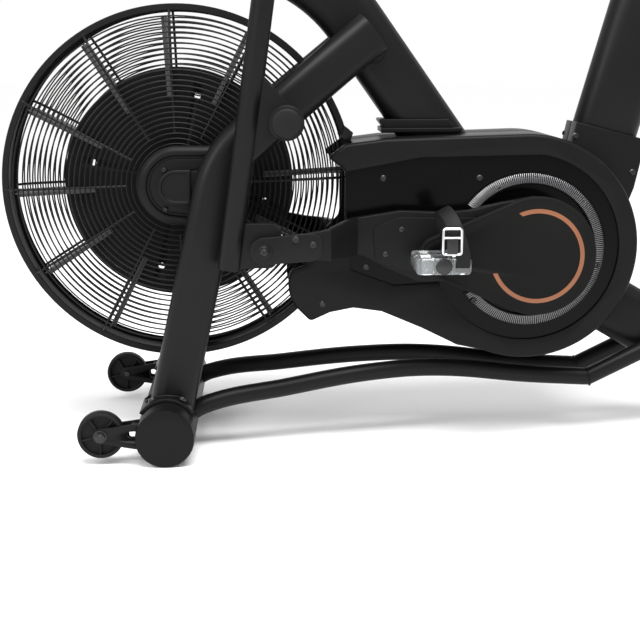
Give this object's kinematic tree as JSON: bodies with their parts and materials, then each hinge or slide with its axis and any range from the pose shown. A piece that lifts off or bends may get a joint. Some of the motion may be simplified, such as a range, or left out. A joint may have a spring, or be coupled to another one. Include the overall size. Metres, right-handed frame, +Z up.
{
  "type": "air bike",
  "caption": "Fan-braked exercise bike with a caged front impeller, swinging handle levers driven by the crank, an adjustable saddle and a small console.",
  "frame": {"origin": "on the floor, in the middle of the bike's length and width", "axes": "+X towards the rear, +Y towards the rider's right, +Z up"},
  "size_m": [1.391, 0.57, 1.2603],
  "materials": {
    "frame": "satin powder coat",
    "wire": "gloss powder coat",
    "plastic": "fine grain",
    "gloss": "gloss",
    "fan_metal": "semi-gloss",
    "steel": "machined",
    "clear": "clear moulded plastic",
    "rubber": "matte",
    "leather": "fine grain"
  },
  "bodies": {
    "frame": {"front_stabiliser": "frame", "front_cap_right": "plastic", "front_cap_left": "plastic", "rear_stabiliser": "frame", "rear_cap_right": "plastic", "rear_cap_left": "plastic", "main_tube": "frame", "fork_leg_right": "frame", "fork_leg_left": "frame", "frame_spine": "frame", "seat_tube": "frame", "rear_stay": "frame", "bottom_rail_right": "frame", "bottom_rail_left": "frame", "chain_case_right": "plastic", "chain_case_left": "plastic", "rib_ring_right": "gloss", "rib_ring_left": "gloss", "main_tube_collar": "plastic", "cage_grille_right": "wire", "cage_grille_left": "wire", "cage_hoop": "frame", "crank_belt": "rubber", "fan_belt": "rubber", "hub_cover_right": "plastic", "hub_cover_left": "plastic", "pivot_shaft_right": "frame", "pivot_shaft_left": "frame", "console_mast": "frame"},
    "crank": {"crank_axle": "steel", "crank_pulley": "plastic", "crank_arm_left": "frame", "crank_arm_right": "frame", "crank_cover_left": "plastic", "crank_cover_right": "plastic"},
    "layshaft": {"layshaft": "steel"},
    "fan": {"impeller": "fan_metal", "fan_axle": "steel"},
    "left_rod": {"connecting_rod_left": "plastic"},
    "right_rod": {"connecting_rod_right": "plastic"},
    "left_lever": {"lever_left": "frame", "grip_left": "rubber"},
    "right_lever": {"lever_right": "frame", "grip_right": "rubber"},
    "left_pedal": {"pedal_left": "clear"},
    "right_pedal": {"pedal_right": "clear"},
    "left_wheel": {"transport_wheel_left": "plastic"},
    "right_wheel": {"transport_wheel_right": "plastic"},
    "seat_post": {"seat_post": "frame"},
    "carriage": {"saddle_carriage": "frame", "saddle": "leather"},
    "carriage_knob": {"carriage_knob": "plastic"},
    "post_knob": {"post_knob": "plastic"},
    "console": {"console": "plastic"},
    "button_start": {"button_start": "rubber"},
    "button_stop": {"button_stop": "rubber"},
    "button_mode": {"button_mode": "rubber"},
    "button_reset": {"button_reset": "rubber"}
  },
  "joints": [
    {"name": "crank_spin", "type": "hinge", "parent": "frame", "child": "crank", "pos_m": [0.239, 0, 0.344], "axis": [0, 1, 0], "continuous": true},
    {"name": "layshaft_spin", "type": "hinge", "parent": "frame", "child": "layshaft", "pos_m": [-0.068, 0, 0.292], "axis": [0, 1, 0], "continuous": true},
    {"name": "fan_spin", "type": "hinge", "parent": "frame", "child": "fan", "pos_m": [-0.38, 0, 0.46], "axis": [0, 1, 0], "continuous": true},
    {"name": "left_rod_turn", "type": "hinge", "parent": "crank", "child": "left_rod", "pos_m": [0.239, -0.137, 0.409], "axis": [0, 1, 0], "continuous": true},
    {"name": "right_rod_turn", "type": "hinge", "parent": "crank", "child": "right_rod", "pos_m": [0.239, 0.137, 0.279], "axis": [0, 1, 0], "continuous": true},
    {"name": "left_pedal_spin", "type": "hinge", "parent": "crank", "child": "left_pedal", "pos_m": [0.064, -0.238, 0.344], "axis": [0, 1, 0], "continuous": true},
    {"name": "right_pedal_spin", "type": "hinge", "parent": "crank", "child": "right_pedal", "pos_m": [0.414, 0.238, 0.344], "axis": [0, 1, 0], "continuous": true},
    {"name": "left_lever_swing", "type": "hinge", "parent": "frame", "child": "left_lever", "pos_m": [-0.191, -0.206, 0.574], "axis": [0, -1, 0], "range_deg": [-15.4, 15.4]},
    {"name": "right_lever_swing", "type": "hinge", "parent": "frame", "child": "right_lever", "pos_m": [-0.191, 0.206, 0.574], "axis": [0, -1, 0], "range_deg": [-15.4, 15.4]},
    {"name": "left_wheel_spin", "type": "hinge", "parent": "frame", "child": "left_wheel", "pos_m": [-0.508, -0.23, 0.052], "axis": [0, 1, 0], "continuous": true},
    {"name": "right_wheel_spin", "type": "hinge", "parent": "frame", "child": "right_wheel", "pos_m": [-0.508, 0.23, 0.052], "axis": [0, 1, 0], "continuous": true},
    {"name": "seat_post_slide", "type": "slide", "parent": "frame", "child": "seat_post", "axis": [0.267, 0, 0.9637], "range_m": [-0.14, 0.1]},
    {"name": "saddle_slide", "type": "slide", "parent": "seat_post", "child": "carriage", "axis": [1, 0, 0], "range_m": [-0.05, 0.05]},
    {"name": "carriage_knob_turn", "type": "hinge", "parent": "carriage", "child": "carriage_knob", "pos_m": [0.50241, 0.045, 0.9715], "axis": [0, 1, 0], "range_deg": [-180, 180]},
    {"name": "post_knob_pull", "type": "slide", "parent": "frame", "child": "post_knob", "axis": [0.9637, 0, -0.267], "range_m": [0, 0.012], "stiffness_N_per_m": 600},
    {"name": "console_tilt", "type": "hinge", "parent": "frame", "child": "console", "pos_m": [-0.262, 0, 1.12], "axis": [0, 1, 0], "range_deg": [-20, 20]},
    {"name": "button_start_press", "type": "slide", "parent": "console", "child": "button_start", "axis": [-0.5736, 0, -0.8191], "range_m": [0, 0.002], "stiffness_N_per_m": 500},
    {"name": "button_stop_press", "type": "slide", "parent": "console", "child": "button_stop", "axis": [-0.5736, 0, -0.8191], "range_m": [0, 0.002], "stiffness_N_per_m": 500},
    {"name": "button_mode_press", "type": "slide", "parent": "console", "child": "button_mode", "axis": [-0.5736, 0, -0.8191], "range_m": [0, 0.002], "stiffness_N_per_m": 500},
    {"name": "button_reset_press", "type": "slide", "parent": "console", "child": "button_reset", "axis": [-0.5736, 0, -0.8191], "range_m": [0, 0.002], "stiffness_N_per_m": 500}
  ],
  "couplings": [
    {"joint": "layshaft_spin", "follows": "crank_spin", "ratio": 5.6818},
    {"joint": "fan_spin", "follows": "crank_spin", "ratio": 7.2727},
    {"joint": "left_rod_turn", "follows": "crank_spin", "ratio": -1},
    {"joint": "right_rod_turn", "follows": "crank_spin", "ratio": -1},
    {"joint": "right_lever_swing", "follows": "left_lever_swing", "ratio": -1}
  ]
}
